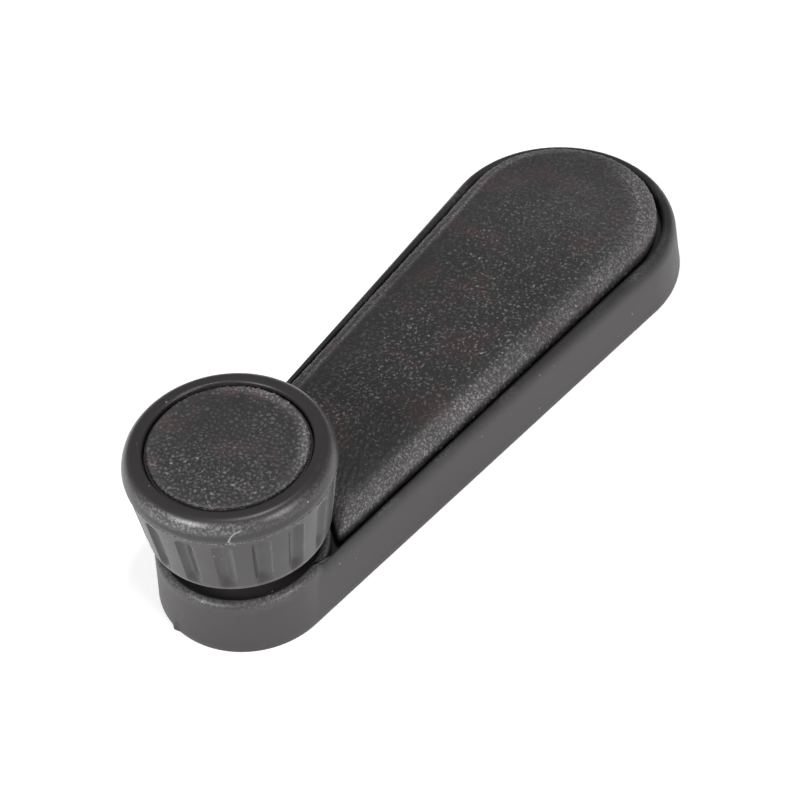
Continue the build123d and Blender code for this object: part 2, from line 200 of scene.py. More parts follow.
def pebbles(points, size, seed, width=1.0):
    # Cellular noise: one random seed point in each cubic cell. The height is how much nearer
    # the nearest seed is than the second nearest, cut off at width, so it rises from creases
    # between the cells to rounded tops. Gives 0 in a crease and 1 on a top.
    spot = points / size
    corner = np.floor(spot).astype(np.int64)
    nearest = np.full(len(points), 9.0)
    second = np.full(len(points), 9.0)
    for dx in (-1, 0, 1):
        for dy in (-1, 0, 1):
            for dz in (-1, 0, 1):
                cell = corner + [dx, dy, dz]
                jitter = [chance(cell, seed + axis) for axis in range(3)]
                away = cell + np.stack(jitter, 1) - spot
                distance = np.sqrt((away ** 2).sum(1))
                second = np.minimum(second, np.maximum(nearest, distance))
                nearest = np.minimum(nearest, distance)
    rise = np.clip((second - nearest) / width, 0, 1)
    return np.sin(rise * math.pi / 2)


def smooth(value, low, high):    # 0 below low, 1 above high
    part = np.clip((value - low) / (high - low), 0, 1)
    return part * part * (3 - 2 * part)


def surface(name, rows, material, body, stands=(), capStart=False, capEnd=False, ringed=False,
            weld=False, marks=None):
    # rows is an array of closed loops, (loop, point on it, xyz) in millimetres. Neighbouring
    # loops are joined by quads; ringed also joins the last loop to the first, and a cap closes
    # an end with one flat face.
    loops, count = rows.shape[:2]
    index = np.arange(loops * count).reshape(loops, count)
    lower = index if ringed else index[:-1]
    upper = np.roll(index, -1, 0) if ringed else index[1:]
    quads = np.stack([lower, np.roll(lower, -1, 1), np.roll(upper, -1, 1), upper], -1)
    faces = quads.reshape(-1, 4).tolist()
    if capStart:
        faces.append(index[0, ::-1].tolist())
    if capEnd:
        faces.append(index[-1].tolist())
    mesh = bpy.data.meshes.new(name)
    mesh.from_pydata((rows.reshape(-1, 3) * mm).tolist(), [], faces)
    for label, values in (marks or {}).items():
        mark(mesh, label, values)
    if weld:
        mergeDoubles(mesh)
    mesh.update()
    piece = bpy.data.objects.new(name, mesh)
    bpy.context.scene.collection.objects.link(piece)
    if material:
        mesh.materials.append(material)
    if body:
        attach(piece, body)
        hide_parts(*stands)
    return piece


def mark(mesh, label, values):    # stores a number on each point, for the materials to read
    layer = mesh.attributes.new(label, "FLOAT", "POINT")
    layer.data.foreach_set("value", values.reshape(-1).astype(np.float32))


def mergeDoubles(mesh, distance=0.002):    # distance in millimetres
    work = bmesh.new()
    work.from_mesh(mesh)
    bmesh.ops.remove_doubles(work, verts=work.verts, dist=distance * mm)
    work.to_mesh(mesh)
    work.free()


def shadeByAngle(piece, degreesLimit):
    mesh = piece.data
    mesh.shade_smooth()
    mesh.set_sharp_from_angle(angle=math.radians(degreesLimit))


def swell(piece, heights):
    # Moves each point along its normal by its height in millimetres.
    mesh = piece.data
    count = len(mesh.vertices)
    places = np.empty(count * 3)
    normals = np.empty(count * 3)
    mesh.vertices.foreach_get("co", places)
    mesh.vertices.foreach_get("normal", normals)
    moved = places.reshape(-1, 3) + normals.reshape(-1, 3) * (heights * mm)[:, None]
    mesh.vertices.foreach_set("co", moved.reshape(-1))
    mesh.update()


def placesOf(piece):    # a mesh's points in millimetres
    count = len(piece.data.vertices)
    places = np.empty(count * 3)
    piece.data.vertices.foreach_get("co", places)
    return places.reshape(-1, 3) / mm


def turnedRows(profile, centre, columns):
    # A surface of revolution: each (radius, height) of the profile becomes a circle of points
    # about a vertical axis through centre.
    angle = np.arange(columns) * 2 * math.pi / columns
    radius, height = np.array(profile, float).T
    x = centre[0] + radius[:, None] * np.cos(angle)
    y = centre[1] + radius[:, None] * np.sin(angle)
    z = np.repeat(height[:, None], columns, 1)
    return np.stack([x, y, z], -1)


def quarter(centre, reach, start, stop, count):
    # Points of an ellipse arc: centre plus reach times (cos, sin) from start to stop degrees.
    angle = np.radians(np.linspace(start, stop, count))
    return [(centre[0] + reach[0] * math.cos(a), centre[1] + reach[1] * math.sin(a))
            for a in angle]


def carve(piece, tool):
    # One boolean on closed meshes, applied at once, and the tool is thrown away.
    cut = piece.modifiers.new("cut", "BOOLEAN")
    cut.operation = "DIFFERENCE"
    cut.solver = "MANIFOLD"
    cut.object = tool
    depsgraph = bpy.context.evaluated_depsgraph_get()
    result = bpy.data.meshes.new_from_object(piece.evaluated_get(depsgraph))
    piece.modifiers.clear()
    old = piece.data
    result.name = old.name
    piece.data = result
    bpy.data.meshes.remove(old)
    bpy.data.objects.remove(tool)


def joinTools(tools):
    # Puts several separate tools into one mesh, so that one boolean cuts them all.
    points = []
    faces = []
    for tool in tools:
        shift = len(points)
        points += [tuple(vertex.co) for vertex in tool.data.vertices]
        faces += [[corner + shift for corner in face.vertices] for face in tool.data.polygons]
        bpy.data.objects.remove(tool)
    mesh = bpy.data.meshes.new("tools")
    mesh.from_pydata(points, [], faces)
    joined = bpy.data.objects.new("tools", mesh)
    bpy.context.scene.collection.objects.link(joined)
    return joined


def rod(radius, bottom, top, centre, columns=48):    # a plain closed cylinder to cut with
    rows = turnedRows([(radius, bottom), (radius, top)], centre, columns)
    return surface("rod", rows, None, None, capStart=True, capEnd=True)


def armLoop(hub, line, end, counts, notch=False):
    # The arm's outline at one level. A circle of radius hub about the hub axis and one of
    # radius line about the knob axis share two tangents. Each tangent runs from the hub circle
    # to where it meets a circle of radius end about the knob axis, and an arc of that circle
    # closes the loop, on the far side, or on the near side for a notch. Returns the points and
    # the unit normals that point out of the outline.
    hubCount, sideCount, endCount = counts
    lean = math.acos((hub - line) / armLength)
    meet = lean + math.acos(min(line / end, 1.0))
    hubAngle = np.linspace(lean, 2 * math.pi - lean, hubCount, endpoint=False)
    hubPart = hub * np.stack([np.cos(hubAngle), np.sin(hubAngle)], 1)
    along = np.linspace(0, 1, sideCount, endpoint=False)[:, None]
    start = hub * np.array([math.cos(lean), -math.sin(lean)])
    stop = np.array([armLength + end * math.cos(meet), -end * math.sin(meet)])
    lowSide = start + (stop - start) * along
    if notch:
        endAngle = np.linspace(-meet, meet - 2 * math.pi, endCount, endpoint=False)
    else:
        endAngle = np.linspace(-meet, meet, endCount, endpoint=False)
    outwards = np.stack([np.cos(endAngle), np.sin(endAngle)], 1)
    endPart = np.array([armLength, 0]) + end * outwards
    mirror = np.array([1, -1])
    highSide = stop * mirror + (start - stop) * mirror * along
    points = np.concatenate([hubPart, lowSide, endPart, highSide])
    lineNormal = np.array([math.cos(lean), -math.sin(lean)])
    normals = np.concatenate([hubPart / hub, np.repeat(lineNormal[None], sideCount, 0),
                              -outwards if notch else outwards,
                              np.repeat((lineNormal * mirror)[None], sideCount, 0)])
    return points, normals


def lift(points, height):    # gives flat points a height, one for all or one each
    tall = np.broadcast_to(height, len(points))
    return np.column_stack([points, tall])


# Materials

housingLook = {
    "level": 0.028,            # base grey
    "warmth": 0.15,
    "roughness": 0.46,
    "grainSize": 0.22,         # spark texture, mm
    "scuffs": 0.5,
    "scratches": [],           # start and end of each, in mm
}


def satinPlastic(name, look):
    # Moulded charcoal plastic: fine spark texture, slow tone drift, dusty scuffs, painted shade
    # by the groove, worn edges with a painted highlight that shines in grains, dots of dust and a few
    # scratches. The mesh stores the painted shade and the worn, highlighted edges as attributes.
    board = Board(name, {"Specular IOR Level": 0.42, "IOR": 1.49})
    drift = board.noise(90, 3.0, 0.55)
    grain = board.noise(1000 / look["grainSize"], 2.0, 0.6)
    scuff = board.step(board.noise(420, 5.0, 0.62), 0.58, 0.74) * look["scuffs"]
    dust = board.step(board.cells(520), 0.1, 0.05) * board.step(board.noise(140), 0.52, 0.6)
    sparkle = board.step(board.noise(2400, 2.0, 0.7), 0.42, 0.66)
    wearAndSheen = board.attribute("wearAndSheen")
    low = grey(look["level"] * 0.84, look["warmth"] * 1.6)
    high = grey(look["level"] * 1.16, look["warmth"] * 0.4)
    base = board.blend(drift, low, high)
    base = board.blend(scuff * 0.35, base, grey(look["level"] * 1.7))
    # Painted shade: darker on the rim's band by the groove, as the mesh marks it.
    base = board.blend(board.attribute("grooveShade") * 0.75, base, grey(look["level"] * 0.25))
    # Worn edges with a painted highlight: paler grey in grains where the mesh marks them.
    base = board.blend(wearAndSheen * (0.15 + sparkle * 0.5), base, grey(0.17))
    base = board.blend(dust * 0.7, base, grey(0.3))
    for start, end in look["scratches"]:
        base = board.blend(scratch(board, start, end) * 0.6, base, grey(0.3))
    board.feed("Base Color", base)
    rough = look["roughness"] + (drift - 0.5) * 0.12 + (grain - 0.5) * 0.14 - wearAndSheen * 0.08
    board.feed("Roughness", rough + scuff * 0.06)
    wavy = board.bump(board.noise(150, 2.0), 0.25, 0.00012)
    board.feed("Normal", board.bump(grain, 0.35, 0.00003, wavy))
    return board.material


def scratch(board, start, end, width=0.08):
    # A mask that is 1 within width of the line from start to end, which wavers a little. The
    # distance from the line counts little in depth, so that the line needn't lie on the skin.
    start, end = np.array(start), np.array(end)
    length = np.linalg.norm(end - start)
    line = (end - start) / length
    first = np.cross(line, [0, 0, 1])
    first /= np.linalg.norm(first)
    second = np.cross(line, first)
    place = board.place()
    waver = (board.noise(300, 2.0) - 0.5) * 0.3 * mm
    along = board.dot(place, tuple(line)) - float(start @ line) * mm
    left = board.dot(place, tuple(first)) - float(start @ first) * mm + waver
    deep = board.dot(place, tuple(second)) - float(start @ second) * mm
    depthShare = 0.002
    off = (left * left + deep * deep * depthShare) ** 0.5
    near = board.step(off, width * mm, width * 0.3 * mm)
    entry = board.step(along, 0.0, 0.4 * mm)
    tail = board.step(along, length * mm, length * 0.8 * mm)
    return near * entry * tail


grainLook = {
    "level": 0.024,
    "warmth": 0.08,
    "roughness": 0.38,
    "finePore": 0.28,          # mm
    "glintDotSpacing": 0.95,         # spacing of the brightest painted glint dots, mm
    "glintFleckSize": 0.5,          # size of the paler painted glint flecks between them, mm
    "glintTipPaleness": 0.15,           # how pale the pebbles' tops are painted, as glints
    "creaseShade": 0.5,             # how dark the painted shade in the creases is, as a share of the level; the tops are as much lighter
    "crinkle": 0.38,           # size of the crinkles in a dusty, sheen-painted edge, mm
    "dust": 0.2,               # grey of the dusty edges with their painted sheen
}


def grainedPlastic(name, look):
    # Leather-grained moulding: painted shade in the creases and lighter, smoother tops, pale tips
    # painted as glints in patches, maroon clouds and dusty edges with a painted sheen. The grain itself
    # is in the mesh, which stores its height, its dusty, sheen-painted places and its glints' area.
    board = Board(name, {"Specular IOR Level": 0.4, "IOR": 1.5})
    top = board.attribute("grain")
    wearAndSheen = board.attribute("wearAndSheen")
    glintArea = board.attribute("glintArea")
    drift = board.noise(70, 3.0, 0.6)
    cloud = board.step(board.noise(130, 2.0, 0.6), 0.48, 0.66)
    pore = board.noise(1000 / look["finePore"], 3.0, 0.65)
    crinkle = board.noise(1000 / look["crinkle"], 4.0, 0.7)
    # Painted glints: dots, flecks and pale pebble tops, only where the mesh marks the area for them.
    glintDots = board.step(board.cells(1000 / look["glintDotSpacing"]) + (pore - 0.5) * 0.3, 0.24, 0.1)
    glintDots = glintDots * board.step(board.noise(600, 2.0, 0.7), 0.44, 0.56)
    glintFlecks = board.step(board.noise(1000 / look["glintFleckSize"], 2.0, 0.5), 0.56, 0.68) * 0.25
    paintedHighlight = board.step(top, 0.72, 0.98) * board.step(board.noise(700, 2.0), 0.42, 0.62)
    paintedGlints = (glintFlecks + paintedHighlight * look["glintTipPaleness"] + glintDots * 0.45) * glintArea
    # Painted shade: creases darker and tops lighter, by the grain's height.
    low = grey(look["level"] * look["creaseShade"], look["warmth"])
    high = grey(look["level"] * (2 - look["creaseShade"]), look["warmth"] * 0.3)
    base = board.blend(top * 0.7 + drift * 0.3, low, high)
    maroon = (look["level"] * 1.7, look["level"] * 0.9, look["level"], 1)
    base = board.blend(cloud * 0.5, base, maroon)
    # Dusty edges with a painted sheen, paler where the mesh marks them.
    dustAndSheen = wearAndSheen * (0.15 + top * 0.25 + board.step(crinkle, 0.5, 0.61) * 0.75)
    base = board.blend(dustAndSheen, base, grey(look["dust"], 0.06))
    base = board.blend(paintedGlints, base, grey(0.42))
    board.feed("Base Color", base)
    rough = look["roughness"] + (1 - top) * 0.2 + (pore - 0.5) * 0.2 - paintedGlints * 0.12
    board.feed("Roughness", rough)
    board.feed("Normal", board.bump(pore, 0.35, 0.00005))
    return board.material


def metal(name, level, roughness, brushed=0.0, tint=(1.0, 1.0, 1.0)):
    # Bare or plated steel: a fine grain, deeper where it is brushed, and a slow drift in tone.
    board = Board(name, {"Metallic": 1.0})
    drift = board.noise(200, 3.0, 0.6)
    fine = board.noise(2600, 3.0, 0.6)
    low = tuple(level * 0.8 * part for part in tint) + (1.0,)
    high = tuple(level * 1.1 * part for part in tint) + (1.0,)
    board.feed("Base Color", board.blend(drift * 0.7 + fine * 0.3, low, high))
    board.feed("Roughness", roughness + (fine - 0.5) * 0.25 + (drift - 0.5) * 0.15)
    board.feed("Normal", board.bump(fine, 0.2 + brushed, 0.00002))
    return board.material


def nylon(name, colour):
    # Natural nylon, painted dark like the shade it sits in under the knob: slightly yellow, cloudy, with a soft
    # moulded surface.
    board = Board(name, {"Specular IOR Level": 0.45, "Subsurface Weight": 0.1,
                         "Subsurface Scale": 0.001})
    cloud = board.noise(300, 3.0, 0.5)
    darker = tuple(part * 0.85 for part in colour[:3]) + (1.0,)
    board.feed("Base Color", board.blend(cloud, darker, colour))
    board.feed("Roughness", 0.42 + (cloud - 0.5) * 0.15)
    board.feed("Normal", board.bump(board.noise(2200), 0.2, 0.00002))
    return board.material


fromKnobAxis = [((13.0, 9.8, 28.5), (10.4, 11.7, 30.4)),
                ((3.4, 15.9, 29.3), (1.9, 16.2, 27.6))]    # start and end of each scratch
knobScratches = [[(x + armLength, y, z) for x, y, z in line] for line in fromKnobAxis]
knobLook = dict(housingLook, level=0.020, roughness=0.35, scuffs=0.7, grainSize=0.2,
                scratches=knobScratches)
discLook = dict(grainLook, level=0.042, roughness=0.32, finePore=0.2, glintDotSpacing=1.3, glintTipPaleness=0.75,
                creaseShade=0.2)
carrierLook = dict(housingLook, level=0.03, roughness=0.5, scuffs=0.2)

housingPlastic = satinPlastic("housing_plastic", housingLook)
knobPlastic = satinPlastic("knob_plastic", knobLook)
carrierPlastic = satinPlastic("carrier_plastic", carrierLook)
inlayGrain = grainedPlastic("inlay_grain", grainLook)
discGrain = grainedPlastic("disc_grain", discLook)
coreSteel = metal("core_steel", 0.42, 0.38)
hubMetal = metal("hub_metal", 0.38, 0.5, 0.2, (1.0, 0.98, 0.94))
fastenerSteel = metal("fastener_steel", 0.55, 0.3, 0.0, (0.98, 1.0, 1.0))
springSteel = metal("spring_steel", 0.22, 0.35, 0.0, (1.0, 0.98, 0.96))
pinSteel = metal("pin_steel", 0.6, 0.22)
bearingNylon = nylon("bearing_nylon", (0.2, 0.19, 0.16, 1.0))
print("materials made")

bySlot = {
    "housing_plastic": housingPlastic,
    "inlay_grain": inlayGrain,
    "knob_plastic": knobPlastic,
    "disc_grain": discGrain,
    "carrier_plastic": carrierPlastic,
    "core_steel": coreSteel,
    "hub_metal": hubMetal,
    "fastener_steel": fastenerSteel,
    "spring_steel": springSteel,
    "pin_steel": pinSteel,
    "bearing_nylon": bearingNylon,
}
for part in frame["record"]["subparts"]:
    node = frame["nodes"][part["node"]]
    node.data.materials.clear()
    node.data.materials.append(bySlot[part["material_slot"]])


# The arm's moulding

armShape = {
    "rimHeight": 10.1,         # rim of the arm, below the boss's collar
    "hubDraft": 1.25,          # how much smaller the hub's top is than its foot
    "lineDraft": 0.85,         # the same for the straight sides, at the knob axis
    "bossDraft": 0.55,         # the same for the boss, so that a crease fades down its side
    "recessHub": 18.0,
    "recessLine": 12.85,
    "recessFloor": 7.6,
    "wallLower": 8.4,          # heights of two loops on the recess's wall
    "wallUpper": 9.2,
    "notchRadius": 13.6,
    "footRound": 0.3,
    "rimShare": 0.64,          # part of the rim's width that the outer rounding takes
    "rimDrop": 2.3,            # rim rounding, downwards
    "collarRound": 1.1,
    "collarStart": 0.982,      # where the rim starts to rise to the collar, 1 at the boss
    "wearAndSheenBand": 0.9,         # how far the worn edge and its painted highlight reach down from the rim
    "grooveShadeBand": 1.5,          # the same for the painted shade by the groove
    "notchRound": 0.35,
    "flat": 0.08,              # what stays flat on the rim
    "boreRadius": 12.3,
    "boreFloor": 8.0,
    "boreRound": 0.3,
    "coverGap": 0.15,
    "coverSeat": 1.6,
    "nubAngle": -13,           # degrees from the arm's line
    "nubHeight": 0.3,
    "nubReach": 0.4,
    "nubSpread": 0.35,         # square millimetres
}


def armMoulding(shape):
    # Rows of loops from the back cover's seat, round the foot, up the drafted side, over the
    # rounded rim and down the recess wall. The rim is an ellipse quarter whose reach shrinks
    # from the hub to the knob, and round the boss it rises to the collar.
    counts = (170, 150, 120)
    hubCount, sideCount, endCount = counts
    foot, out = armLoop(hubRadius, bossRadius, bossRadius, counts)
    crown, out2 = armLoop(hubRadius - shape["hubDraft"], bossRadius - shape["lineDraft"],
                          bossRadius - shape["bossDraft"], counts)
    well, wellOut = armLoop(shape["recessHub"], shape["recessLine"], shape["notchRadius"],
                            counts, notch=True)
    seatHub = -coverLow[0] + shape["coverGap"]
    seatEnd = coverHigh[0] - armLength + shape["coverGap"]
    seat, seatOut = armLoop(seatHub, seatEnd, seatEnd, counts)

    along = np.concatenate([np.zeros(hubCount), np.arange(sideCount) / sideCount,
                            np.ones(endCount), 1 - np.arange(sideCount) / sideCount])
    boss = smooth(along, shape["collarStart"], 1.0)
    rimTop = shape["rimHeight"] + (housingHigh[2] - shape["rimHeight"]) * boss
    hubLand = hubRadius - shape["hubDraft"] - shape["recessHub"] - shape["flat"]
    endLand = bossRadius - shape["lineDraft"] - shape["recessLine"] - shape["flat"]
    land = hubLand + (endLand - hubLand) * along
    reach = land * shape["rimShare"] * (1 - boss) + shape["collarRound"] * boss
    drop = shape["rimDrop"] * (1 - boss) + shape["collarRound"] * boss

    def side(height):    # the drafted side at a height, one for all points or one each
        part = np.broadcast_to(height, len(foot))[:, None] / shape["rimHeight"]
        return foot + (crown - foot) * part

    rows = [lift(seat, shape["coverSeat"]), lift(seat, shape["footRound"] / 2),
            lift(seat + seatOut * shape["footRound"] / 2, 0)]
    for turn in np.radians([0, 30, 60, 90]):
        inset = shape["footRound"] * (1 - math.sin(turn))
        height = shape["footRound"] * (1 - math.cos(turn))
        rows.append(lift(side(0) - out * inset, height))
    shoulder = rimTop - drop
    for part in np.linspace(0, 1, 9)[1:]:
        height = shape["footRound"] + (shoulder - shape["footRound"]) * part
        rows.append(lift(side(height), height))
    for turn in np.radians(np.linspace(0, 90, 12))[1:]:
        height = rimTop - drop * (1 - math.sin(turn))
        inward = out2 * (reach * (1 - math.cos(turn)))[:, None]
        rows.append(lift(side(height) - inward, height))
    soft = (land * (1 - shape["rimShare"]) * (1 - boss) + shape["notchRound"] * boss)[:, None]
    for turn in np.radians([90, 60, 30, 0]):
        inset = wellOut * soft * (1 - math.cos(turn))
        height = rimTop - soft[:, 0] * (1 - math.sin(turn))
        rows.append(lift(well + inset, height))
    for height in (shape["wallUpper"], shape["wallLower"], shape["recessFloor"]):
        rows.append(lift(well, height))
    rows = np.array(rows)
    addNub(rows, shape)

    below = rows[:, :, 2] - rimTop
    edge = np.exp(-(below / shape["wearAndSheenBand"]) ** 2)
    patch = runningNoise(rows.reshape(-1, 3), 5.0, 11).reshape(edge.shape)
    # Worn rim edge with a painted highlight, much stronger on the collar's lip round the boss.
    wearAndSheen = np.clip(edge * (0.15 + 0.75 * boss + 0.4 * patch), 0, 1)
    # Painted shade: darkest at the rim's top by the groove, fading down over the band, none round the boss.
    grooveShade = np.exp(-(below / shape["grooveShadeBand"]) ** 2) * (1 - boss) * (1 + 0.3 * patch)
    housing = surface("arm_moulding", rows, housingPlastic, "arm", ["arm_housing"],
                      capStart=True, capEnd=True, marks={"wearAndSheen": wearAndSheen, "grooveShade": grooveShade})
    carve(housing, boreTool(shape))
    carve(housing, corePocket())
    carve(housing, holeTools())
    shadeByAngle(housing, 32)
    return housing


def addNub(rows, shape):
    # A stub of flash where the mould was gated, low on the boss: a small outward Gaussian bump.
    angle = math.radians(shape["nubAngle"])
    x, y = armLength + bossRadius * math.cos(angle), bossRadius * math.sin(angle)
    away = ((rows - [x, y, shape["nubHeight"]]) ** 2).sum(-1)
    push = shape["nubReach"] * np.exp(-away / shape["nubSpread"])
    rows[:, :, 0] += push * math.cos(angle)
    rows[:, :, 1] += push * math.sin(angle)


def boreTool(shape):
    # The boss's round bore, flared at its mouth so that the collar's lip comes out rounded.
    top = housingHigh[2]
    soft = shape["boreRound"]
    profile = [(shape["boreRadius"] - soft, shape["boreFloor"]),
               (shape["boreRadius"], shape["boreFloor"] + soft)]
    for turn in np.radians(np.linspace(0, 90, 7)):
        profile.append((shape["boreRadius"] + soft * (1 - math.cos(turn)),
                        top - soft * (1 - math.sin(turn))))
    profile.append((shape["boreRadius"] + soft + 1, top + 1))
    rows = turnedRows(profile, (armLength, 0), 180)
    return surface("bore", rows, None, None, capStart=True, capEnd=True)


def corePocket():    # the space that the steel core lies in
    gap = 0.3
    bottom = 1.0
    hub = -coreLow[0] + gap
    end = coreHigh[0] - armLength + gap
    loop, _ = armLoop(hub, end, end, (60, 12, 48))
    rows = np.array([lift(loop, bottom), lift(loop, coreHigh[2])])
    return surface("pocket", rows, None, None, capStart=True, capEnd=True)


holes = {    # centre x, centre y, radius, bottom, top in mm
    "hub": (0, 0, 7.0, 1.0, 9.0),
    "pin": (armLength, 0, 6.8, 1.0, 9.0),
    "pegHubLeft": (0, 14.6, 1.9, 3.3, 9.0),
    "pegHubRight": (0, -14.6, 1.9, 3.3, 9.0),
    "pegMiddle": (34, 0, 1.9, 5.0, 9.0),
    "pegEnd": (60, 0, 1.9, 5.0, 9.0),
    "screwHub": (-15.6, 0, 1.2, 1.0, 5.1),
}


def holeTools():
    tools = [rod(radius, bottom, top, (x, y)) for x, y, radius, bottom, top in holes.values()]
    return joinTools(tools)


armMoulding(armShape)
print("arm moulding made")


# The arm's inlay

inlayShape = {
    "gap": 0.6,                # black groove round it
    "edgeHeight": 9.9,         # where its side starts to roll over
    "hubLift": 0.75,           # how much higher that is round the hub's far end
    "roll": 6.0,               # how far in the rolled edge reaches
    "fullness": 2.15,          # 2 is an ellipse, more is squarer
    "corner": 2.5,             # softening of the outline's corners
    "dome": 0.1,
    "spine": (-1.5, 61),       # ends of the centre line that the top is closed on
    "grainSize": 1.0,
    "grainHeight": 0.28,
}


def armInlay(shape, arm):
    # Each loop is the recess's outline drawn in by t. Its height follows a superellipse of t
    # over the rolled edge, then stays on a slightly domed top. The innermost loop is closed by
    # drawing it flat onto the arm's centre line.
    counts = (300, 420, 126)
    crown = inlayHigh[2] - shape["dome"]
    start = arm["recessLine"] - shape["gap"]
    wallRows = 4
    insetRows = 48
    lastWidth = 0.35           # half the width of the innermost loop at the knob's end
    insets = np.concatenate([np.zeros(wallRows), np.linspace(0, start - lastWidth, insetRows)])
    rows = []
    for number, inset in enumerate(insets):
        drawn = shape["gap"] + inset
        loop, _ = armLoop(arm["recessHub"] - drawn, arm["recessLine"] - drawn,
                          arm["notchRadius"] + drawn, counts, notch=True)
        loop = softened(loop, shape["corner"])
        edge = shape["edgeHeight"] + shape["hubLift"] * smooth(-loop[:, 0], -14, 12)
        part = min(inset / shape["roll"], 1.0)
        rise = (1 - (1 - part) ** shape["fullness"]) ** (1 / shape["fullness"])
        height = edge + (crown - edge) * rise
        if number < wallRows:
            height = inlayLow[2] + (edge - inlayLow[2]) * number / wallRows
        rows.append(lift(loop, height))
    last = rows[-1]
    for part in np.linspace(0, 1, 20)[1:]:
        closing = last.copy()
        closing[:, 1] *= 1 - part
        closing[:, 0] = last[:, 0] + (np.clip(last[:, 0], *shape["spine"]) - last[:, 0]) * part
        closing[:, 2] += shape["dome"] * 0.8 * math.sin(part * math.pi / 2)
        rows.append(closing)
    rows = np.array(rows)
    inlay = surface("arm_inlay_skin", rows, inlayGrain, "inlay", ["arm_inlay"], capStart=True,
                    weld=True)
    inlay.data.shade_smooth()
    places = placesOf(inlay)
    leatherGrain(inlay, places, shape["grainSize"], shape["grainHeight"], 3)
    inlayDustAndSheen(inlay, places)
    return inlay


def inlayDustAndSheen(inlay, places):
    # Dust and painted sheen: the rolled edge, most of all near the knob on the +Y side, a painted
    # reflection at the hub's far end, a painted haze over the hub and a thin painted highlight along the
    # -Y edge. Each is a product of smooth steps in x, y and z. Painted glints: the face's middle and +Y half.
    x, y, z = places.T
    edge = smooth(z, 10.0, 11.0) * (1 - smooth(z, 12.6, 13.35))
    patch = runningNoise(places, 5.0, 21)
    farSpot = (-11, 11)
    farSpread = 70             # square millimetres
    far = np.exp(-((x - farSpot[0]) ** 2 + (y - farSpot[1]) ** 2) / farSpread)
    near = smooth(x, 24, 66) * smooth(y, 2, 8)
    side = smooth(y, 4, 10)
    # Painted highlight: a thin pale line along the -Y edge.
    line = np.exp(-((z - 13.0) / 0.14) ** 2) * smooth(-y, 5, 9) * (0.8 + 0.5 * patch)
    # Painted reflection: a haze over the hub and a pale patch at its far end.
    hubReflection = 0.2 * (1 - smooth(x, -6, 24)) + far * smooth(z, 10, 11) * (1 - smooth(z, 13.2, 13.6))
    wearAndSheen = (edge * (0.1 + 0.3 * side + 0.5 * near) + hubReflection) * (1 + 0.5 * patch) + line
    mark(inlay.data, "wearAndSheen", np.clip(wearAndSheen, 0, 1))
    # Where the painted glints go: the middle of the face and its +Y half.
    spread = smooth(x, -8, 10) * (1 - 0.75 * smooth(x, 56, 70)) * smooth(y, -14, -4)
    mark(inlay.data, "glintArea", np.clip(spread * (0.75 + 0.6 * runningNoise(places, 9.0, 23)), 0, 1))


def softened(loop, spread):
    # Rounds a loop's corners with a running Gaussian mean along it, spread in mm.
    step = np.linalg.norm(np.roll(loop, -1, 0) - loop, axis=1).mean()
    width = max(int(3 * spread / step), 1)
    offsets = np.arange(-width, width + 1)
    weights = np.exp(-0.5 * (offsets * step / spread) ** 2)
    weights /= weights.sum()
    return sum(weight * np.roll(loop, -offset, 0) for offset, weight in zip(offsets, weights))


def leatherGrain(piece, places, size, height, seed):
    # Two sizes of pebble on slightly bent coordinates, with weaker pebbles between patches. The
    # mean height stays near the old surface.
    bend = np.stack([runningNoise(places, size * 2.2, seed + axis) for axis in (5, 6, 7)], 1)
    bent = places + bend * size * 0.45
    coarse = pebbles(bent, size, seed)
    fine = pebbles(bent, size * 0.52, seed + 31)
    weight = 0.75 + 0.25 * runningNoise(places, size * 6, seed + 9)
    grain = (0.75 * coarse + 0.25 * coarse * fine) * weight
    swell(piece, (grain - 0.7) * height)
    mark(piece.data, "grain", np.clip(grain * 1.1, 0, 1))


armInlay(inlayShape, armShape)
print("arm inlay made")


# The knob

knobShape = {
    "bottom": 15.5,            # underside of the fluted skirt
    "parting": 28.2,           # where the skirt and the shoulder meet
    "lowRadius": 14.3,
    "flutes": 17,
    "firstFlute": 12.9,        # degrees from the arm's line
    "fluteShare": 0.5,         # of the pitch
    "fluteDepth": 0.8,
    "fluteTop": 27.4,
    "fluteFade": 16.3,         # where a flute dies out near the bottom edge
    "bevel": 0.45,
    "pinHole": 5.5,            # radius of the way through for the pin
    "stem": 7.8,               # radius of the stem, and the bevel at its foot
    "stemBevel": 0.2,
    "bushSeat": (6.1, 22.4),   # radius and floor of the bush's seat
    "channel": (13.1, 14.1),   # inner and outer radius of the groove for the shoulder's spigot
    "channelFloor": 26.9,
    "fineFrom": 26.2,          # the wall's loops lie closer together above this height
    "tuck": 0.2,               # how far the shoulder draws in at the parting line
    "shoulder": (2.2, 3.5),    # reach of the rounded shoulder, inwards and upwards
    "beadHeight": 0.12,        # flash on the parting line
    "beadWidth": 0.16,
    "grooveRadius": 12.8,
    "grooveRound": 0.4,
    "ledge": (10, 29.8),       # inner radius and height of the ledge under the disc
    "spigot": (13.2, 14.0),    # inner and outer radius of the spigot in the skirt's groove
    "spigotFoot": 27.0,
}
knobCentre = (armLength, 0)


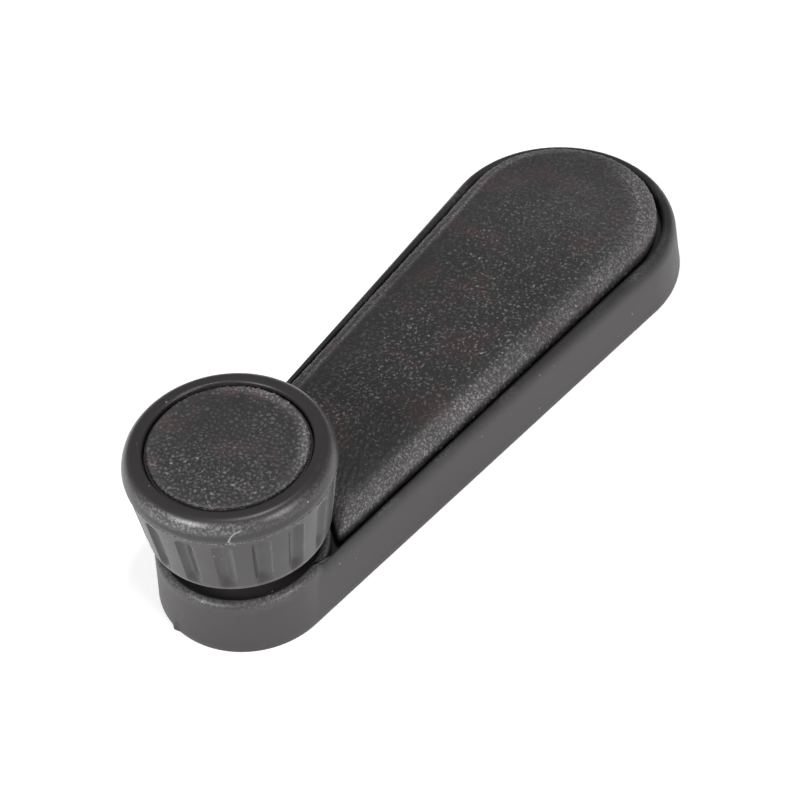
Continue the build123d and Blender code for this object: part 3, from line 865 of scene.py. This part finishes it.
def knobSkirt(shape):
    # A turned profile whose outer wall is pressed in by flutes. Each pitch has fixed columns:
    # those inside a flute are spaced over its width at that height, so its edges stay sharp,
    # and the wall goes in by depth times (1 - s^2)(1 - 0.45 s) for s from -1 to 1 across it.
    bottom, parting = shape["bottom"], shape["parting"]
    topRadius = knobRadius - shape["tuck"]
    low = shape["lowRadius"]
    stemBevel = shape["stemBevel"]
    stem = [(shape["pinHole"], skirtBottom), (shape["stem"] - stemBevel, skirtBottom),
            (shape["stem"], skirtBottom + stemBevel), (shape["stem"], bottom)]
    inner = [(9.5, bottom), (12, bottom)]
    bevel = quarter((low - shape["bevel"], bottom + shape["bevel"]),
                    (shape["bevel"], shape["bevel"]), -90, 0, 6)
    fine = shape["fineFrom"]
    wallHeights = np.concatenate([np.linspace(bottom + shape["bevel"], fine, 26)[1:],
                                  np.linspace(fine, parting - 0.1, 24)[1:]])
    wall = [(low + (topRadius - low) * (height - bottom) / (parting - bottom), height)
            for height in wallHeights]
    near, far = shape["channel"]
    seat, seatFloor = shape["bushSeat"]
    inside = [(topRadius - 0.15, parting), (far, parting), (far, shape["channelFloor"]),
              (near, shape["channelFloor"]), (near, parting), (seat, parting),
              (seat, seatFloor), (shape["pinHole"], seatFloor)]
    profile = stem + inner + bevel + wall + inside
    inFlute = 14
    perPitch = 24
    rows = turnedRows(profile, knobCentre, shape["flutes"] * perPitch)
    pitch = 2 * math.pi / shape["flutes"]
    across = np.linspace(-1, 1, inFlute + 1)
    rest = np.linspace(0, 1, perPitch - inFlute + 1)[1:-1]
    first = np.repeat(np.arange(shape["flutes"]) * pitch, perPitch)
    for row, (radius, height) in enumerate(profile):
        top = np.clip((shape["fluteTop"] - height) / 1.0, 0, 1)
        half = shape["fluteShare"] * pitch / 2 * max(math.sqrt(1 - (1 - top) ** 2), 0.05)
        angle = np.concatenate([across * half, half + rest * (pitch - 2 * half)])
        depth = shape["fluteDepth"] * smooth(height, shape["fluteFade"] - 0.5,
                                             shape["fluteFade"] + 2.0) * top ** 0.5
        onWall = bottom + 0.2 < height < parting and radius > far + 0.05
        scoop = (1 - across ** 2) * (1 - 0.45 * across)
        press = np.concatenate([scoop * depth * onWall, np.zeros(len(rest))])
        reach = radius - np.tile(press, shape["flutes"])
        turn = math.radians(shape["firstFlute"]) + first + np.tile(angle, shape["flutes"])
        rows[row, :, 0] = armLength + reach * np.cos(turn)
        rows[row, :, 1] = reach * np.sin(turn)
    edge = np.exp(-((rows[:, :, 2] - bottom - 0.3) / 0.35) ** 2)
    onEdge = np.concatenate([across > 0.9, np.zeros(len(rest), bool)])
    # Painted highlight: a pale line on one edge of each flute, from 17.5 mm up.
    paintedFluteHighlight = np.tile(onEdge, shape["flutes"]) * smooth(rows[:, :, 2], 17.5, 19.5)
    patch = runningNoise(rows.reshape(-1, 3), 3.0, 5).reshape(edge.shape)
    wearAndSheen = edge * 0.5 + paintedFluteHighlight * 0.6 + 0.15 * patch
    skirt = surface("knob_skirt", rows, knobPlastic, "knob", ["knob_body"], ringed=True,
                    marks={"wearAndSheen": np.clip(wearAndSheen, 0, 1)})
    shadeByAngle(skirt, 14)
    return skirt


def knobShoulder(shape):
    # The turned ring over the skirt: flash on the parting line, a wall that swells out over the
    # skirt, a wide elliptical shoulder, a rounded lip into the groove, and the ledge and spigot
    # that aren't seen.
    parting = shape["parting"]
    reach, rise = shape["shoulder"]
    centre = (knobRadius - reach, rimHigh[2] - rise)
    bead = shape["beadWidth"]
    foot = knobRadius - shape["tuck"]
    outer = [(foot - 0.1, parting), (foot + shape["beadHeight"], parting + bead * 0.3),
             (foot + shape["beadHeight"], parting + bead * 0.6)]
    rim = quarter(centre, (reach, rise), 0, 90, 28)
    swellStart = parting + bead

    def swollen(height):    # the wall's radius, which grows from the parting line upwards
        return foot + shape["tuck"] * smooth(height, swellStart - 0.2, centre[1] + 0.6)

    outer += [(swollen(height), height)
              for height in np.linspace(swellStart, centre[1], 4, endpoint=False)]
    outer += [(min(radius, swollen(height)), height) for radius, height in rim]
    lip = shape["grooveRound"]
    groove = shape["grooveRadius"]
    lipPoints = 7
    outer += quarter((groove + lip, rimHigh[2] - lip), (lip, lip), 90, 180, lipPoints)
    ledge, ledgeTop = shape["ledge"]
    near, far = shape["spigot"]
    inner = [(groove, ledgeTop), (ledge, ledgeTop), (ledge, parting), (near, parting),
             (near, shape["spigotFoot"]), (far, shape["spigotFoot"]), (far, parting)]
    rows = turnedRows(outer + inner, knobCentre, 224)
    places = rows.reshape(-1, 3)
    dent = runningNoise(places, 7.0, 41).reshape(rows.shape[:2]) * 0.03
    isOuter = (np.arange(len(rows)) < len(outer) - lipPoints)[:, None]
    rows[:, :, 2] += dent * isOuter * smooth(rows[:, :, 2], 28.8, 30)
    height = rows[:, :, 2]
    angle = np.degrees(np.arctan2(rows[:, :, 1], rows[:, :, 0] - armLength))
    # Painted highlight: a pale band round the shoulder, strongest towards 16 degrees from the arm's line.
    band = smooth(height, 29.6, 30.5) * (1 - smooth(height, 31.2, 31.8))
    patch = runningNoise(places, 3.0, 43).reshape(band.shape)
    highlightAngle, highlightSpread = 16, 30    # degrees
    spot = np.exp(-((angle - highlightAngle) / highlightSpread) ** 2)
    paintedHighlight = band * (0.35 + 1.6 * spot) * (1 + 0.5 * patch)
    # Painted highlight: a pale line on the flash along the parting line.
    flash = np.exp(-((height - parting - bead / 2) / 0.12) ** 2)
    ring = surface("knob_shoulder", rows, knobPlastic, "knob", ["knob_rim"], ringed=True,
                   marks={"wearAndSheen": np.clip(paintedHighlight, 0, 1.4) + 2.2 * flash})
    shadeByAngle(ring, 40)
    return ring


discShape = {"radius": 12.3, "edge": 0.55, "dome": 0.2, "grainSize": 0.76, "grainHeight": 0.34}


def knobDisc(shape):
    # Rings of points from the edge to the centre, rolled over at the edge by a quarter circle
    # and domed by a cosine, with coarse pebbles pressed up out of the face.
    bottom = discLow[2]
    top = discHigh[2] - 0.1 - shape["dome"]
    edge = shape["edge"]
    profile = [(shape["radius"], bottom), (shape["radius"], (bottom + top - edge) / 2)]
    profile += quarter((shape["radius"] - edge, top - edge), (edge, edge), 0, 90, 6)
    for radius in np.linspace(shape["radius"] - edge, 0.0, 86)[1:-1]:
        share = radius / (shape["radius"] - edge)
        profile.append((radius, top + shape["dome"] * math.cos(share * math.pi / 2)))
    profile.append((0.0, top + shape["dome"]))
    rows = turnedRows(profile, knobCentre, 420)
    disc = surface("knob_disc", rows, discGrain, "knob", ["knob_inlay"], capStart=True,
                   weld=True)
    disc.data.shade_smooth()
    places = placesOf(disc)
    leatherGrain(disc, places, shape["grainSize"], shape["grainHeight"], 13)
    x, y = places[:, 0] - armLength, places[:, 1]
    out = np.hypot(x, y) / shape["radius"]
    patch = runningNoise(places, 4.0, 51)
    # Wear round the disc's edge and a painted highlight on its back side.
    back = smooth(0.3 * y - x, 2, 12)
    mark(disc.data, "wearAndSheen", np.clip(smooth(out, 0.8, 0.97) * (0.12 + back) * (1 + patch), 0, 1))
    # Painted glints over the front of the face.
    mark(disc.data, "glintArea", np.clip(smooth(x * 0.8 + y * 0.3, -4, 9) * (0.8 + 0.3 * patch), 0, 1))
    return disc


knobSkirt(knobShape)
knobShoulder(knobShape)
knobDisc(discShape)
print("knob made")


# Stage, light and camera

viewLook = {
    "azimuth": 129.47,
    "elevation": 46.75,
    "roll": -4.13,
    "distance": 364.1,         # mm, from the target
    "sideways": -1.88,
    "upwards": -4.33,
    "target": (0.5 * armLength, 0.0, 8.8),
    "lens": 99.0,
}


def aimCamera(look):
    # The camera looks at the target from azimuth and elevation, rolled about its own line of
    # sight and slid sideways and upwards in its own plane.
    azimuth = math.radians(look["azimuth"])
    elevation = math.radians(look["elevation"])
    roll = math.radians(look["roll"])
    back = np.array([math.sin(azimuth) * math.cos(elevation),
                     -math.cos(azimuth) * math.cos(elevation), math.sin(elevation)])
    level = np.array([math.cos(azimuth), math.sin(azimuth), 0.0])
    upright = np.cross(back, level)
    right = math.cos(roll) * level + math.sin(roll) * upright
    up = math.cos(roll) * upright - math.sin(roll) * level
    spot = np.array(look["target"]) + back * look["distance"]
    spot += right * look["sideways"] + up * look["upwards"]
    data = bpy.data.cameras.new("camera")
    data.sensor_width = 36
    data.lens = look["lens"]
    data.clip_start = 0.01
    data.clip_end = 20
    camera = bpy.data.objects.new("camera", data)
    turn = np.column_stack([right, up, back])
    placed = np.eye(4)
    placed[:3, :3] = turn
    placed[:3, 3] = spot * mm
    camera.matrix_world = Matrix(placed.tolist())
    bpy.context.scene.collection.objects.link(camera)
    bpy.context.scene.camera = camera


def softLight(name, spot, side, power):
    # A square light with sides in metres, aimed at the middle of the arm.
    data = bpy.data.lights.new(name, "AREA")
    data.size = side
    data.energy = power
    light = bpy.data.objects.new(name, data)
    light.location = spot
    aim = np.array([armLength * 0.5 * mm, 0, 0.01]) - np.array(spot)
    light.rotation_euler = Vector(aim).to_track_quat("-Z", "Y").to_euler()
    bpy.context.scene.collection.objects.link(light)


def paleFloor(glow):
    # A plain pale floor that glows a little, as a light table does.
    half = 3.0
    mesh = bpy.data.meshes.new("floor")
    mesh.from_pydata([(-half, -half, 0), (half, -half, 0), (half, half, 0), (-half, half, 0)],
                     [], [(0, 1, 2, 3)])
    floor = bpy.data.objects.new("floor", mesh)
    bpy.context.scene.collection.objects.link(floor)
    board = Board("floor", {"Base Color": (0.92, 0.92, 0.92, 1), "Roughness": 0.9,
                            "Specular IOR Level": 0.1, "Emission Color": (1, 1, 1, 1),
                            "Emission Strength": glow})
    mesh.materials.append(board.material)


def studioWorld(level):
    world = bpy.data.worlds.new("studio")
    world.use_nodes = True
    background = world.node_tree.nodes["Background"]
    background.inputs["Color"].default_value = (1, 1, 1, 1)
    background.inputs["Strength"].default_value = level
    bpy.context.scene.world = world


bpy.context.scene.view_settings.view_transform = "Standard"
paleFloor(0.3)
studioWorld(0.3)
softLight("key", (0.12, 0.85, 0.46), 0.45, 4.8)
softLight("left", (0.9, -0.08, 0.58), 0.42, 8.0)
softLight("top", (0.0, 0.1, 0.95), 0.1, 3.0)
aimCamera(viewLook)

print("scene made")
